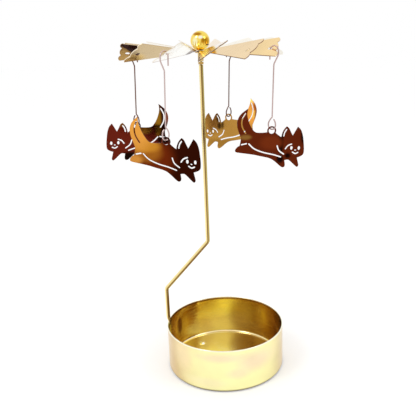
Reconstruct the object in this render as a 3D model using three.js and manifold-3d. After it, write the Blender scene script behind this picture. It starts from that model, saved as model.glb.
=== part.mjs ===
// Rotary tealight holder: a pressed metal cup, a bent wire post rising from inside its wall,
// and a bladed rotor that turns on the post's point with four leaping-fox charms hung from it.
// Millimetres, +Z up. The origin is the centre of the cup's underside.
// The post leans over the cup along X, and the rotor's axis is parallel to Z.

import * as THREE from 'three';
import { mergeVertices, toCreasedNormals } from 'three/addons/utils/BufferGeometryUtils.js';
import Module from 'manifold-3d';

const wasm = await Module();
wasm.setup();

// Cup
const cupRadius = 30;
const cupHeight = 22.5;
const cupWall = 0.55;
const cupFloor = 0.7;
const cupOuterFillet = 1.3;
const cupInnerFillet = 1.0;
const pipCircle = 20.6;
const pipRadius = 1.5;
const pipHeight = 0.7;
const pipCount = 3;
const pipTurn = THREE.MathUtils.degToRad(128);

// Post: one wire, flattened where it is fixed inside the cup's wall
const postRadius = 1.0;
const footThickness = 1.0;
const footWidth = 2.8;
const footReach = 15;
const footGap = 0.25;
const riserInset = 0.6;
const rimPass = 0.5;
const joggleRise = 3.6;
const riserRise = 15.7;
const slantRise = 25;
const slantReach = 22.2;
const bendRadius = 2.6;
const uprightRise = 86.2;

// Needle: the post's turned top end
const needleRadius = 0.45;
const needleTipRadius = 0.1;
const needleTaper = 1.1;
const tipGap = 0.3;

// Collar on the post's shoulder
const collarRadius = 1.3;
const collarHeight = 1.2;
const slipGap = 0.2;

// Hub bush: a hollow rivet that holds ball and rotor together and runs on the needle
const bushGap = 0.3;
const bushRadius = 1.3;
const bushBore = 0.8;
const sleeveLength = 3.65;
const bushFlange = 2.5;
const bushFlangeThickness = 0.4;
const spigotRadius = 1.1;
const spigotReach = 2.0;
const seatGap = 0.2;

// Ball
const ballRadius = 4.38;
const ballFlat = 1.5;
const ballBoreTop = 0.4;

// Rotor: one stamped sheet, a hub disc with twisted vanes
const sheet = 0.4;
const hubRadius = 6.2;
const vaneCount = 12;
const vaneTurn = THREE.MathUtils.degToRad(-23);
const vanePitch = THREE.MathUtils.degToRad(31);
const vaneRootInset = 1.6;
const vaneTwistReach = 3.2;
const vaneRootTrail = 1.1;
const vaneRootLead = 1.1;
const vaneRadius = 37.0;
const vaneTipTrail = 5.5;
const vaneTipLead = 9.0;
const vaneTipRake = 2.2;
const lobeBulge = 1.9;
const notchDepth = 0.4;
const holeInset = 2.9;
const holeRadius = 1.05;

// Hanger wires
const wireRadius = 0.3;
const hookSpan = 4.4;
const hookTurn = THREE.MathUtils.degToRad(18);
const hookRise = 1.6;
const hookDrop = 2.3;
const hookKink = 3.9;
const nubDrop = 4.4;
const shankLength = 23.0;
const loopLength = 5.4;
const loopRadius = 1.95;
const loopEndGap = 0.15;
const hangLean = THREE.MathUtils.degToRad(2.1);

// Charms
const charmLength = 32.2;
const charmDepth = 30.4;
const charmSheet = 0.4;
const ringHole = 1.4;
const ringRadius = 2.05;
const ringGap = 0.5;
const slotWidth = 0.6;
const tailBend = 2.6;

// How each charm is turned about its wire, seen from above
const charmAngles = [192, -15, 150, 8].map((degrees) => THREE.MathUtils.degToRad(degrees));
// Which vane each wire hangs from, counted from the first one
const hangerVanes = [6, 9, 3, 0];

// How finely round forms are drawn
const cupFacets = 56;
const pipFacets = 12;
const postFacets = 16;
const bushFacets = 24;
const ballFacets = 28;
const hubFacets = 48;
const wireFacets = 6;
const filletSteps = 4;
const bendSteps = 6;
const joggleSteps = 4;
const ballSteps = 12;
const twistSteps = 5;
const lobeSteps = 4;
const hookSteps = 8;
const kinkSteps = 2;
const loopSteps = 8;
const loopSideSteps = 4;
const ringSteps = 10;
const outlineSteps = 2;
const creaseAngle = THREE.MathUtils.degToRad(62);

// Places that follow from the sizes above
const riserX = -(cupRadius - riserInset);
const axisX = riserX + slantReach;
const footTop = cupHeight + rimPass;
const riserFoot = footTop + joggleRise;
const lowerBend = riserFoot + riserRise;
const upperBend = lowerBend + slantRise;
const shoulder = upperBend + uprightRise;
const collarBottom = shoulder + slipGap;
const bushBottom = collarBottom + collarHeight + bushGap;
const flangeTop = bushBottom + sleeveLength + bushFlangeThickness;
const rotorPlane = flangeTop + seatGap + sheet / 2;
const ballBottom = rotorPlane + sheet / 2 + seatGap;
const ballCentre = ballBottom + Math.sqrt(ballRadius ** 2 - ballFlat ** 2);
const boreTop = ballCentre + ballBoreTop;
const needleTip = boreTop - tipGap;

// Finishes
const finishes = {
  cup: { color: 0xe8cf86, roughness: 0.24, metalness: 1 },
  post: { color: 0xcaa55c, roughness: 0.3, metalness: 1 },
  ball: { color: 0xe0a83a, roughness: 0.12, metalness: 1 },
  vane: { color: 0xdcc49a, roughness: 0.22, metalness: 1 },
  wire: { color: 0x9a8074, roughness: 0.4, metalness: 1 },
  brown: { color: 0x66260f, roughness: 0.2, metalness: 1 },
  gold: { color: 0xb8873c, roughness: 0.24, metalness: 1 },
};

const holder = new THREE.Group();

function addPiece(parent, name, geometry, finish) {
  const mesh = new THREE.Mesh(
    toCreasedNormals(geometry, creaseAngle),
    new THREE.MeshStandardMaterial(finishes[finish]),
  );
  mesh.name = name;
  parent.add(mesh);
  return mesh;
}

// Joining and cutting

function toSolid(geometry) {
  const bare = geometry.clone();
  bare.deleteAttribute('normal').deleteAttribute('uv');
  const merged = mergeVertices(bare);
  return new wasm.Manifold(new wasm.Mesh({
    numProp: 3,
    vertProperties: new Float32Array(merged.attributes.position.array),
    triVerts: new Uint32Array(merged.index.array),
  }));
}

function toGeometry(solid) {
  const mesh = solid.getMesh();
  const geometry = new THREE.BufferGeometry();
  geometry.setAttribute('position', new THREE.BufferAttribute(mesh.vertProperties, 3));
  geometry.setIndex(new THREE.BufferAttribute(mesh.triVerts, 1));
  return geometry;
}

// A profile of radius and height, closed on itself or on the axis, turned about Z
function revolve(profile, segments) {
  return new THREE.LatheGeometry(profile, segments).rotateX(Math.PI / 2);
}

function arcPoints(centreX, centreY, radius, fromAngle, toAngle, steps) {
  const points = [];
  for (let i = 0; i <= steps; i += 1) {
    const angle = fromAngle + ((toAngle - fromAngle) * i) / steps;
    points.push(new THREE.Vector2(
      centreX + radius * Math.cos(angle),
      centreY + radius * Math.sin(angle),
    ));
  }
  return points;
}

// A closed skin over a row of rings that all have the same number of points
function loft(rings) {
  const count = rings[0].length;
  const positions = [];
  const index = [];
  rings.forEach((ring) => ring.forEach((point) => positions.push(point.x, point.y, point.z)));
  for (let i = 0; i + 1 < rings.length; i += 1) {
    for (let j = 0; j < count; j += 1) {
      const a = i * count + j;
      const b = i * count + ((j + 1) % count);
      index.push(a, b, b + count, a, b + count, a + count);
    }
  }
  const last = (rings.length - 1) * count;
  for (let j = 1; j + 1 < count; j += 1) {
    index.push(0, j + 1, j);
    index.push(last, last + j, last + j + 1);
  }
  const geometry = new THREE.BufferGeometry();
  geometry.setAttribute('position', new THREE.Float32BufferAttribute(positions, 3));
  geometry.setIndex(index);
  return geometry;
}

// A rod along a line in the XZ plane. Each station has its place, its half thickness in that
// plane, its half width along Y, and how square its section is: 2 is round, more is flatter.
function rodInPlane(stations, facets) {
  const rings = stations.map((station, i) => {
    const before = stations[Math.max(i - 1, 0)].at;
    const after = stations[Math.min(i + 1, stations.length - 1)].at;
    const into = station.at.clone().sub(before).normalize();
    const out = after.clone().sub(station.at).normalize();
    const along = into.clone().add(out).normalize();
    const across = new THREE.Vector2(along.y, -along.x);
    const ring = [];
    for (let j = 0; j < facets; j += 1) {
      const angle = (2 * Math.PI * (j + 1 / 2)) / facets;
      const squared = (value) => Math.sign(value) * Math.abs(value) ** (2 / station.square);
      const thick = squared(Math.cos(angle)) * station.thick;
      ring.push(new THREE.Vector3(
        station.at.x + across.x * thick,
        squared(Math.sin(angle)) * station.wide,
        station.at.y + across.y * thick,
      ));
    }
    return ring;
  });
  return loft(rings);
}

// The points of a rounded corner between two straight stretches
function roundCorner(before, corner, after, radius, steps) {
  const back = before.clone().sub(corner).normalize();
  const on = after.clone().sub(corner).normalize();
  const half = Math.acos(THREE.MathUtils.clamp(back.dot(on), -1, 1)) / 2;
  const reach = radius / Math.tan(half);
  const start = corner.clone().addScaledVector(back, reach);
  const end = corner.clone().addScaledVector(on, reach);
  const middle = corner.clone().addScaledVector(
    back.clone().add(on).normalize(),
    radius / Math.sin(half),
  );
  const fromAngle = start.clone().sub(middle).angle();
  let sweep = end.clone().sub(middle).angle() - fromAngle;
  if (sweep > Math.PI) sweep -= 2 * Math.PI;
  if (sweep < -Math.PI) sweep += 2 * Math.PI;
  return arcPoints(middle.x, middle.y, radius, fromAngle, fromAngle + sweep, steps);
}

// Cup: a drawn shell with a rolled-soft rim and pressed pips that centre the tealight

function cupGeometry() {
  const inner = cupRadius - cupWall;
  const lip = cupWall / 2;
  const cornerAt = inner - cupInnerFillet;
  const cornerUp = cupFloor + cupInnerFillet;
  const profile = [
    new THREE.Vector2(0, 0),
    ...arcPoints(cupRadius - cupOuterFillet, cupOuterFillet, cupOuterFillet, -Math.PI / 2, 0, filletSteps),
    ...arcPoints(cupRadius - lip, cupHeight - lip, lip, 0, Math.PI, filletSteps),
    ...arcPoints(cornerAt, cornerUp, cupInnerFillet, 0, -Math.PI / 2, filletSteps),
    new THREE.Vector2(0, cupFloor),
  ];
  let shell = toSolid(revolve(profile, cupFacets));
  const domeRadius = (pipRadius ** 2 + pipHeight ** 2) / (2 * pipHeight);
  const sink = cupFloor / 2;
  const rimAngle = Math.asin((domeRadius - pipHeight) / domeRadius);
  const domeProfile = [
    new THREE.Vector2(0, -sink),
    new THREE.Vector2(pipRadius, -sink),
    ...arcPoints(0, pipHeight - domeRadius, domeRadius, rimAngle, Math.PI / 2, filletSteps),
  ];
  domeProfile.at(-1).x = 0;
  for (let i = 0; i < pipCount; i += 1) {
    const turn = pipTurn + (2 * Math.PI * i) / pipCount;
    const dome = revolve(domeProfile, pipFacets);
    dome.translate(pipCircle * Math.cos(turn), pipCircle * Math.sin(turn), cupFloor);
    shell = shell.add(toSolid(dome));
  }
  return toGeometry(shell);
}

// Post: flat foot, a joggle over the rim, riser, slant, upright and needle

function postGeometry() {
  const footX = -(cupRadius - cupWall - footGap - footThickness / 2);
  const neckRadius = (postRadius + needleRadius) / 2;
  const flat = { thick: footThickness / 2, wide: footWidth / 2, square: 5 };
  const roundOf = (radius) => ({ thick: radius, wide: radius, square: 2 });
  const round = roundOf(postRadius);
  const low = new THREE.Vector2(riserX, lowerBend);
  const high = new THREE.Vector2(axisX, upperBend);
  const riserStart = new THREE.Vector2(riserX, riserFoot);
  const top = new THREE.Vector2(axisX, shoulder);
  const place = (x, z, section) => ({ at: new THREE.Vector2(x, z), ...section });
  const joggle = [];
  for (let i = 1; i < joggleSteps; i += 1) {
    const share = i / joggleSteps;
    const ease = THREE.MathUtils.smoothstep(share, 0, 1);
    const blend = (from, to) => THREE.MathUtils.lerp(from, to, ease);
    joggle.push(place(blend(footX, riserX), THREE.MathUtils.lerp(footTop, riserFoot, share), {
      thick: blend(flat.thick, round.thick),
      wide: blend(flat.wide, round.wide),
      square: blend(flat.square, round.square),
    }));
  }
  const stations = [
    place(footX, cupHeight - footReach, flat),
    place(footX, footTop, flat),
    ...joggle,
    place(riserX, riserFoot, round),
    ...roundCorner(riserStart, low, high, bendRadius, bendSteps).map((at) => ({ at, ...round })),
    ...roundCorner(low, high, top, bendRadius, bendSteps).map((at) => ({ at, ...round })),
    place(axisX, shoulder + neckRadius - postRadius, round),
    place(axisX, shoulder, roundOf(neckRadius)),
    place(axisX, shoulder + slipGap / 2, roundOf(needleRadius)),
    place(axisX, needleTip - needleTaper, roundOf(needleRadius)),
    place(axisX, needleTip, roundOf(needleTipRadius)),
  ];
  return rodInPlane(stations, postFacets);
}

// Collar: a plain barrel round the needle, resting on the post's shoulder

function collarGeometry() {
  const bore = needleRadius + slipGap;
  const bulge = collarHeight / 4;
  return revolve([
    new THREE.Vector2(bore, 0),
    new THREE.Vector2(collarRadius - bulge, 0),
    new THREE.Vector2(collarRadius, bulge),
    new THREE.Vector2(collarRadius, collarHeight - bulge),
    new THREE.Vector2(collarRadius - bulge, collarHeight),
    new THREE.Vector2(bore, collarHeight),
    new THREE.Vector2(bore, 0),
  ], bushFacets).translate(0, 0, collarBottom);
}

// Hub bush: sleeve under the rotor, flange against it, spigot up through it into the ball

function bushGeometry() {
  const flangeBottom = flangeTop - bushFlangeThickness;
  const spigotTop = ballBottom + spigotReach;
  return revolve([
    new THREE.Vector2(bushBore, bushBottom),
    new THREE.Vector2(bushRadius, bushBottom),
    new THREE.Vector2(bushRadius, flangeBottom),
    new THREE.Vector2(bushFlange, flangeBottom),
    new THREE.Vector2(bushFlange, flangeTop),
    new THREE.Vector2(spigotRadius, flangeTop),
    new THREE.Vector2(spigotRadius, spigotTop),
    new THREE.Vector2(bushBore, spigotTop),
    new THREE.Vector2(bushBore, bushBottom),
  ], bushFacets);
}

// Ball: a turned knob with a counterbore for the bush and a blind bore for the needle's point

function ballGeometry() {
  const counterbore = spigotRadius + seatGap;
  const counterboreTop = ballBottom + spigotReach + seatGap;
  const fromAngle = -Math.acos(ballFlat / ballRadius);
  const profile = [
    new THREE.Vector2(0, boreTop),
    new THREE.Vector2(bushBore, boreTop - bushBore / 2),
    new THREE.Vector2(bushBore, counterboreTop),
    new THREE.Vector2(counterbore, counterboreTop),
    new THREE.Vector2(counterbore, ballBottom),
    ...arcPoints(0, ballCentre, ballRadius, fromAngle, Math.PI / 2, ballSteps),
  ];
  profile.at(-1).x = 0;
  return revolve(profile, ballFacets);
}

// Rotor

// A vane's edges, as distances from its middle line at a radius
function trailAt(radius) {
  const share = (radius - hubRadius) / (vaneRadius - hubRadius);
  return -THREE.MathUtils.lerp(vaneRootTrail, vaneTipTrail, Math.max(share, 0));
}

function leadAt(radius) {
  const share = (radius - hubRadius) / (vaneRadius - vaneTipRake - hubRadius);
  return THREE.MathUtils.lerp(vaneRootLead, vaneTipLead, Math.max(share, 0));
}

// Where the scalloped tip has its corners and notches, as shares of its width
const lobeShares = [0, 0.31, 0.74, 1];

// The hole for a hanger lies in line with the first notch, a little up the vane
const notchOffset = THREE.MathUtils.lerp(-vaneTipTrail, vaneTipLead, lobeShares[1]);
const notchRadius = vaneRadius - vaneTipRake * lobeShares[1] - notchDepth;
const holeOffset = notchOffset + (hookSpan * Math.sin(hookTurn)) / Math.cos(vanePitch);
const holeAt = notchRadius - holeInset;

function vaneGeometries() {
  const rootStart = hubRadius - vaneRootInset;
  const rootEnd = hubRadius + vaneTwistReach;
  const plateStart = rootEnd - sheet;
  const tip = lobeShares.map((share, i) => {
    const cut = i === 0 || i === lobeShares.length - 1 ? 0 : notchDepth;
    return new THREE.Vector2(
      vaneRadius - vaneTipRake * share - cut,
      THREE.MathUtils.lerp(-vaneTipTrail, vaneTipLead, share),
    );
  });
  const outline = new THREE.Shape();
  outline.moveTo(plateStart, trailAt(plateStart));
  outline.lineTo(tip[0].x, tip[0].y);
  for (let i = 1; i < tip.length; i += 1) {
    const middle = tip[i - 1].clone().lerp(tip[i], 1 / 2);
    outline.quadraticCurveTo(middle.x + lobeBulge, middle.y, tip[i].x, tip[i].y);
  }
  outline.lineTo(plateStart, leadAt(plateStart));
  const hole = new THREE.Path();
  hole.absarc(holeAt, holeOffset, holeRadius, 0, 2 * Math.PI, true);
  outline.holes.push(hole);
  const plate = new THREE.ExtrudeGeometry(outline, {
    depth: sheet, bevelEnabled: false, curveSegments: lobeSteps,
  });
  plate.translate(0, 0, -sheet / 2);
  plate.rotateX(vanePitch);

  const rings = [];
  for (let i = 0; i <= twistSteps; i += 1) {
    const radius = THREE.MathUtils.lerp(rootStart, rootEnd, i / twistSteps);
    const pitch = vanePitch * THREE.MathUtils.smoothstep(radius, hubRadius, plateStart);
    const corner = (offset, lift) => new THREE.Vector3(
      radius,
      offset * Math.cos(pitch) - lift * Math.sin(pitch),
      offset * Math.sin(pitch) + lift * Math.cos(pitch),
    );
    rings.push([
      corner(trailAt(radius), -sheet / 2),
      corner(leadAt(radius), -sheet / 2),
      corner(leadAt(radius), sheet / 2),
      corner(trailAt(radius), sheet / 2),
    ]);
  }
  return [plate, loft(rings)];
}

function rotorGeometry() {
  const bore = spigotRadius + seatGap;
  const disc = revolve([
    new THREE.Vector2(bore, -sheet / 2),
    new THREE.Vector2(hubRadius, -sheet / 2),
    new THREE.Vector2(hubRadius, sheet / 2),
    new THREE.Vector2(bore, sheet / 2),
    new THREE.Vector2(bore, -sheet / 2),
  ], hubFacets);
  let rotor = toSolid(disc);
  for (let i = 0; i < vaneCount; i += 1) {
    for (const piece of vaneGeometries()) {
      piece.rotateZ(vaneTurn + (2 * Math.PI * i) / vaneCount);
      rotor = rotor.add(toSolid(piece));
    }
  }
  return toGeometry(rotor).translate(0, 0, rotorPlane);
}

// Hanger wires: a hook through the vane's hole and over its tip, a kink, a shank and a loop

// Heights on the wire are measured from the vane's plane where the wire crosses its tip
function wireGeometry() {
  const half = hookSpan / 2;
  const arcCentre = hookRise - half;
  const point = (u, z) => new THREE.Vector2(u, z);
  const kinkTop = point(half, -hookDrop);
  const kinkEnd = point(0, -hookDrop - hookKink);
  const shankEnd = point(0, kinkEnd.y - shankLength);
  const loopCentre = shankEnd.y - loopLength + loopRadius;
  const loopSide = point(-loopRadius, loopCentre);
  const endX = 2 * wireRadius + loopEndGap;
  const endZ = shankEnd.y - endX;
  const sideUp = (loopCentre + shankEnd.y) / 2;
  const down = new THREE.QuadraticBezierCurve(shankEnd, point(-loopRadius, sideUp), loopSide);
  const back = new THREE.QuadraticBezierCurve(
    point(loopRadius, loopCentre),
    point(loopRadius, sideUp),
    point(endX, endZ),
  );
  const line = [
    point(-half, -nubDrop),
    ...arcPoints(0, arcCentre, half, Math.PI, 0, hookSteps),
    ...roundCorner(point(half, arcCentre), kinkTop, kinkEnd, half, kinkSteps),
    ...roundCorner(kinkTop, kinkEnd, shankEnd, half, kinkSteps),
    ...down.getPoints(loopSideSteps),
    ...arcPoints(0, loopCentre, loopRadius, Math.PI, 2 * Math.PI, loopSteps).slice(1),
    ...back.getPoints(loopSideSteps).slice(1),
  ];
  const section = { thick: wireRadius, wide: wireRadius, square: 2 };
  return rodInPlane(line.map((at) => ({ at, ...section })), wireFacets);
}

// Charms: a leaping fox cut from sheet, with pierced lines and its tail bent out of the plate

// Points are shares of the charm's length forward, and of its depth up, from its ring's centre
const outlineShares = [
  // Back
  [[0.056, -0.032], [0.1, -0.07], [0.141, -0.1]],
  // Near ear, front and back
  [[0.141, -0.1], [0.156, -0.03], [0.185, 0.026], [0.217, 0.06]],
  [[0.217, 0.06], [0.25, 0.03], [0.277, -0.026], [0.305, -0.08]],
  // Far ear, front
  [[0.305, -0.08], [0.342, -0.012], [0.376, 0.052]],
  // Head
  [[0.376, 0.052], [0.42, 0.004], [0.449, -0.075], [0.467, -0.19], [0.475, -0.29],
    [0.468, -0.36], [0.43, -0.394], [0.377, -0.414]],
  // Far leg
  [[0.377, -0.414], [0.39, -0.47], [0.403, -0.53], [0.382, -0.558], [0.342, -0.527],
    [0.298, -0.483], [0.25, -0.444], [0.195, -0.449]],
  // Near leg
  [[0.195, -0.449], [0.205, -0.515], [0.197, -0.548], [0.168, -0.558], [0.126, -0.53],
    [0.07, -0.477], [0.01, -0.43], [-0.056, -0.402]],
  // Belly and hind paw
  [[-0.056, -0.402], [-0.15, -0.38], [-0.25, -0.355], [-0.36, -0.336], [-0.458, -0.32],
    [-0.508, -0.306], [-0.514, -0.275], [-0.488, -0.238], [-0.452, -0.214]],
  // Rump
  [[-0.452, -0.214], [-0.44, -0.155], [-0.436, -0.094]],
  // Tail, outside and inside
  [[-0.436, -0.094], [-0.468, -0.01], [-0.491, 0.075], [-0.491, 0.163],
    [-0.448, 0.257], [-0.354, 0.341]],
  [[-0.354, 0.341], [-0.36, 0.25], [-0.332, 0.144], [-0.288, 0.05], [-0.232, -0.016],
    [-0.15, -0.028], [-0.065, -0.023]],
];
// Pierced lines: tail, haunch, belly, neck, cheek, ear and smile
const slotShares = [
  [[-0.385, 0.265], [-0.427, 0.17], [-0.42, 0.065], [-0.37, -0.03]],
  [[-0.425, -0.2], [-0.355, -0.185]],
  [[-0.322, -0.19], [-0.24, -0.268], [-0.11, -0.324], [0.03, -0.36], [0.14, -0.398]],
  [[0.084, -0.228], [0.112, -0.3], [0.182, -0.356]],
  [[0.205, -0.277], [0.24, -0.23], [0.292, -0.208]],
  [[0.176, -0.082], [0.188, -0.03], [0.214, 0.012]],
  [[0.31, -0.33], [0.35, -0.352], [0.388, -0.336]],
];
const eyeShares = [[0.292, -0.265], [0.4, -0.27]];
const eyeSizeShares = [0.018, 0.028];
const noseShares = [0.348, -0.3];
const noseSizeShares = [0.014, 0.009];

// Where the tail leans out of the plate: what is behind its front, from its root to its tip
const tailFrontShare = -0.2;
const tailRootShare = -0.06;
const tailTipShare = 0.341;

function alongCharm(pair) {
  return new THREE.Vector2(pair[0] * charmLength, pair[1] * charmDepth);
}

// A slot of even width round a smooth line, with blunt round ends
function slotPath(pairs) {
  const line = new THREE.SplineCurve(pairs.map(alongCharm));
  const steps = outlineSteps * (pairs.length - 1);
  const half = slotWidth / 2;
  const left = [];
  const right = [];
  for (let i = 0; i <= steps; i += 1) {
    const at = line.getPoint(i / steps);
    const along = line.getTangent(i / steps);
    const side = new THREE.Vector2(-along.y, along.x).multiplyScalar(half);
    if (i === 0) left.push(at.clone().addScaledVector(along, -half));
    left.push(at.clone().add(side));
    right.push(at.clone().sub(side));
    if (i === steps) left.push(at.clone().addScaledVector(along, half));
  }
  return new THREE.Path([...left, ...right.reverse()]);
}

function ovalPath(centre, size) {
  const middle = alongCharm(centre);
  const reach = alongCharm(size);
  const path = new THREE.Path();
  path.absellipse(middle.x, middle.y, reach.x, reach.y, 0, 2 * Math.PI, true);
  return path;
}

function charmGeometry() {
  const backStart = alongCharm(outlineShares[0][0]);
  const backEnd = alongCharm(outlineShares.at(-1).at(-1));
  const points = arcPoints(0, 0, ringRadius, backEnd.angle(), backStart.angle() - 2 * Math.PI, ringSteps);
  for (const stretch of outlineShares) {
    const curve = new THREE.SplineCurve(stretch.map(alongCharm));
    points.push(...curve.getPoints(outlineSteps * (stretch.length - 1)).slice(1));
  }
  points.pop();
  const outline = new THREE.Shape(points.reverse());
  const ring = new THREE.Path();
  ring.absarc(0, 0, ringHole, 0, 2 * Math.PI, true);
  outline.holes.push(ring, ...slotShares.map(slotPath));
  outline.holes.push(...eyeShares.map((eye) => ovalPath(eye, eyeSizeShares)));
  outline.holes.push(ovalPath(noseShares, noseSizeShares));
  const plate = new THREE.ExtrudeGeometry(outline, {
    depth: charmSheet, bevelEnabled: false, curveSegments: ringSteps / 2,
  });
  plate.translate(0, 0, -charmSheet / 2);
  leanTail(plate);
  return plate.rotateX(Math.PI / 2);
}

// The tail leans away from the plate, more towards its tip
function leanTail(plate) {
  const places = plate.attributes.position;
  for (let i = 0; i < places.count; i += 1) {
    const share = (places.getY(i) / charmDepth - tailRootShare) / (tailTipShare - tailRootShare);
    if (share > 0 && places.getX(i) < tailFrontShare * charmLength) {
      places.setZ(i, places.getZ(i) + tailBend * share ** 2);
    }
  }
}

// Assembly

addPiece(holder, 'candle_cup', cupGeometry(), 'cup');
addPiece(holder, 'post', postGeometry(), 'post');

const onAxis = new THREE.Group();
onAxis.position.x = axisX;
holder.add(onAxis);
addPiece(onAxis, 'post_collar', collarGeometry(), 'post');
addPiece(onAxis, 'hub_bush', bushGeometry(), 'post');
addPiece(onAxis, 'ball_knob', ballGeometry(), 'ball');
addPiece(onAxis, 'rotor', rotorGeometry(), 'vane');

const charmFinishes = ['brown', 'brown', 'gold', 'brown'];
hangerVanes.forEach((vane, i) => {
  const vaneAngle = vaneTurn + (2 * Math.PI * vane) / vaneCount;
  const hookAngle = vaneAngle - hookTurn;
  const shankAt = new THREE.Vector2(holeAt, holeOffset * Math.cos(vanePitch))
    .rotateAround(new THREE.Vector2(0, 0), vaneAngle)
    .add(new THREE.Vector2(hookSpan / 2, 0).rotateAround(new THREE.Vector2(0, 0), hookAngle));
  const hookHeight = rotorPlane + ((holeOffset + notchOffset) / 2) * Math.sin(vanePitch);
  const hanger = new THREE.Group();
  hanger.position.set(shankAt.x, shankAt.y, hookHeight);
  hanger.rotation.y = hangLean;
  onAxis.add(hanger);
  const wire = addPiece(hanger, `hanger_wire_${i + 1}`, wireGeometry(), 'wire');
  wire.rotation.z = hookAngle;
  const loopBottom = hookDrop + hookKink + shankLength + loopLength;
  const charm = addPiece(hanger, `fox_charm_${i + 1}`, charmGeometry(), charmFinishes[i]);
  charm.position.z = -loopBottom + wireRadius + ringGap - ringHole;
  charm.rotation.z = charmAngles[i];
});

export default holder;
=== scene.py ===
# Looks for the rotary tealight holder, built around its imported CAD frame.
# Lengths are millimetres in the part's own frame unless a name says otherwise, and MM turns them to metres.

import math

import bpy
import numpy as np
from mathutils import Matrix, Vector
from mathutils.geometry import delaunay_2d_cdt

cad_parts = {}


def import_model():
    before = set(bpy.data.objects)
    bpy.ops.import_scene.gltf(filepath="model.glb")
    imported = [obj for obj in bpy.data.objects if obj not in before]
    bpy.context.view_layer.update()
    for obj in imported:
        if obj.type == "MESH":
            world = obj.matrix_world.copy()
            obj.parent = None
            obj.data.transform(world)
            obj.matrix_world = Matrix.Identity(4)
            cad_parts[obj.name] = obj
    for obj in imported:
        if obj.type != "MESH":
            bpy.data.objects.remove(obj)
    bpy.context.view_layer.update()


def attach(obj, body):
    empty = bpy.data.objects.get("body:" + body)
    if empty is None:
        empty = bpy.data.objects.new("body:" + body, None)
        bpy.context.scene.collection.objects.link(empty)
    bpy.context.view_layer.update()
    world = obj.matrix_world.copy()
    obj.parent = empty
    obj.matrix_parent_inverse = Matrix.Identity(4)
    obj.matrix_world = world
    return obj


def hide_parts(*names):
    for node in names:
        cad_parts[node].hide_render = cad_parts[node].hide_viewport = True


MM = 0.001

# Cup
CUP_RADIUS = 30.0
CUP_HEIGHT = 22.5
CUP_WALL = 0.55
CUP_FLOOR = 0.7
CUP_OUTER_FILLET = 1.3
CUP_INNER_FILLET = 1.0
PIP_CIRCLE = 20.6
PIP_RADIUS = 1.5
PIP_HEIGHT = 0.7
PIP_COUNT = 3
PIP_TURN = math.radians(128)
PIP_SHARES = (0.15, 1.25)
CUP_SEGMENTS = 240
CUP_FLOOR_STEP = 0.3
WALL_RINGS = 48
FILLET_STEPS = 8
LIP_STEPS = 10

# Post
POST_RADIUS = 1.0
FOOT_THICKNESS = 1.0
FOOT_WIDTH = 2.8
FOOT_REACH = 15.0
FOOT_GAP = 0.25
FOOT_SQUARENESS = 5
FOOT_END_SQUARENESS = 4
FOOT_END_SHARES = (0.7, 0.85)
FOOT_END_ROUND = 0.25
RISER_INSET = 0.6
RIM_PASS = 0.5
JOGGLE_RISE = 3.6
RISER_RISE = 15.7
SLANT_RISE = 25.0
SLANT_REACH = 22.2
BEND_RADIUS = 2.6
UPRIGHT_RISE = 86.2
POST_FACETS = 40
FOOT_STATIONS = 8
JOGGLE_STEPS = 15
BEND_STEPS = 16
SHOULDER_STEPS = 6

# Needle and collar
NEEDLE_RADIUS = 0.45
NEEDLE_TIP_RADIUS = 0.1
NEEDLE_TAPER = 1.1
TIP_GAP = 0.3
COLLAR_RADIUS = 1.3
COLLAR_HEIGHT = 1.2
SLIP_GAP = 0.2
GROOVE_DEPTH = 0.16
GROOVE_HALF = 0.18
COLLAR_SEGMENTS = 48
COLLAR_STEPS = 6

# Hub bush and ball
BUSH_GAP = 0.3
BUSH_RADIUS = 1.3
BUSH_BORE = 0.8
SLEEVE_LENGTH = 3.65
BUSH_FLANGE = 2.5
BUSH_FLANGE_THICKNESS = 0.4
SPIGOT_RADIUS = 1.1
SPIGOT_REACH = 2.0
SEAT_GAP = 0.2
BALL_RADIUS = 4.38
BALL_FLAT = 1.5
BALL_BORE_TOP = 0.4
BUSH_SEGMENTS = 64
BUSH_STEPS = 4
BALL_SEGMENTS = 96
BALL_STEPS = 40

# Rotor
SHEET = 0.4
HUB_RADIUS = 6.2
VANE_COUNT = 12
VANE_TURN = math.radians(-23)
VANE_PITCH = math.radians(31)
VANE_TWIST_REACH = 3.2
VANE_ROOT_HALF = 1.1
VANE_RADIUS = 37.0
VANE_TIP_TRAIL = 5.5
VANE_TIP_LEAD = 9.0
VANE_TIP_RAKE = 2.2
LOBE_BULGE = 1.9
NOTCH_DEPTH = 0.4
HOLE_INSET = 2.9
HOLE_RADIUS = 1.05
LOBE_SHARES = (0, 0.31, 0.74, 1)
BORE_STEPS = 48
HUB_STEPS = 6
VANE_STEPS = 36
LOBE_STEPS = 14
HOLE_STEPS = 28

# Hanger wires, and the vane that each hangs on
HANGER_VANES = (6, 9, 3, 0)
WIRE_RADIUS = 0.3
HOOK_SPAN = 4.4
HOOK_TURN = math.radians(18)
HOOK_RISE = 1.6
HOOK_DROP = 2.3
HOOK_KINK = 3.9
NUB_DROP = 4.4
SHANK_LENGTH = 23.0
LOOP_LENGTH = 5.4
LOOP_RADIUS = 1.95
LOOP_END_GAP = 0.15
HANG_LEAN = math.radians(2.1)
WIRE_FACETS = 16
HOOK_STEPS = 24
KINK_STEPS = 8
LOOP_STEPS = 10
WIRE_END_ANGLES = [math.radians(a) for a in (12, 40, 65)]

# Charms
CHARM_LENGTH = 32.2
CHARM_DEPTH = 30.4
CHARM_SHEET = 0.4
RING_HOLE = 1.4
RING_RADIUS = 2.05
RING_GAP = 0.5
SLOT_WIDTH = 0.6
TAIL_BEND = 2.6
OUTLINE_STEPS = 5
SLOT_STEPS = 6
RING_STEPS = 28
RING_HOLE_STEPS = 36
OVAL_STEPS = 24

# Each charm's turn about its hanger, and the one painted with bright gold reflections while the others have
# dark brown ones, counted from 0
CHARM_ANGLES = [math.radians(a) for a in (192, -15, 150, 8)]
BRIGHT_REFLECTION_CHARM = 2

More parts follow.
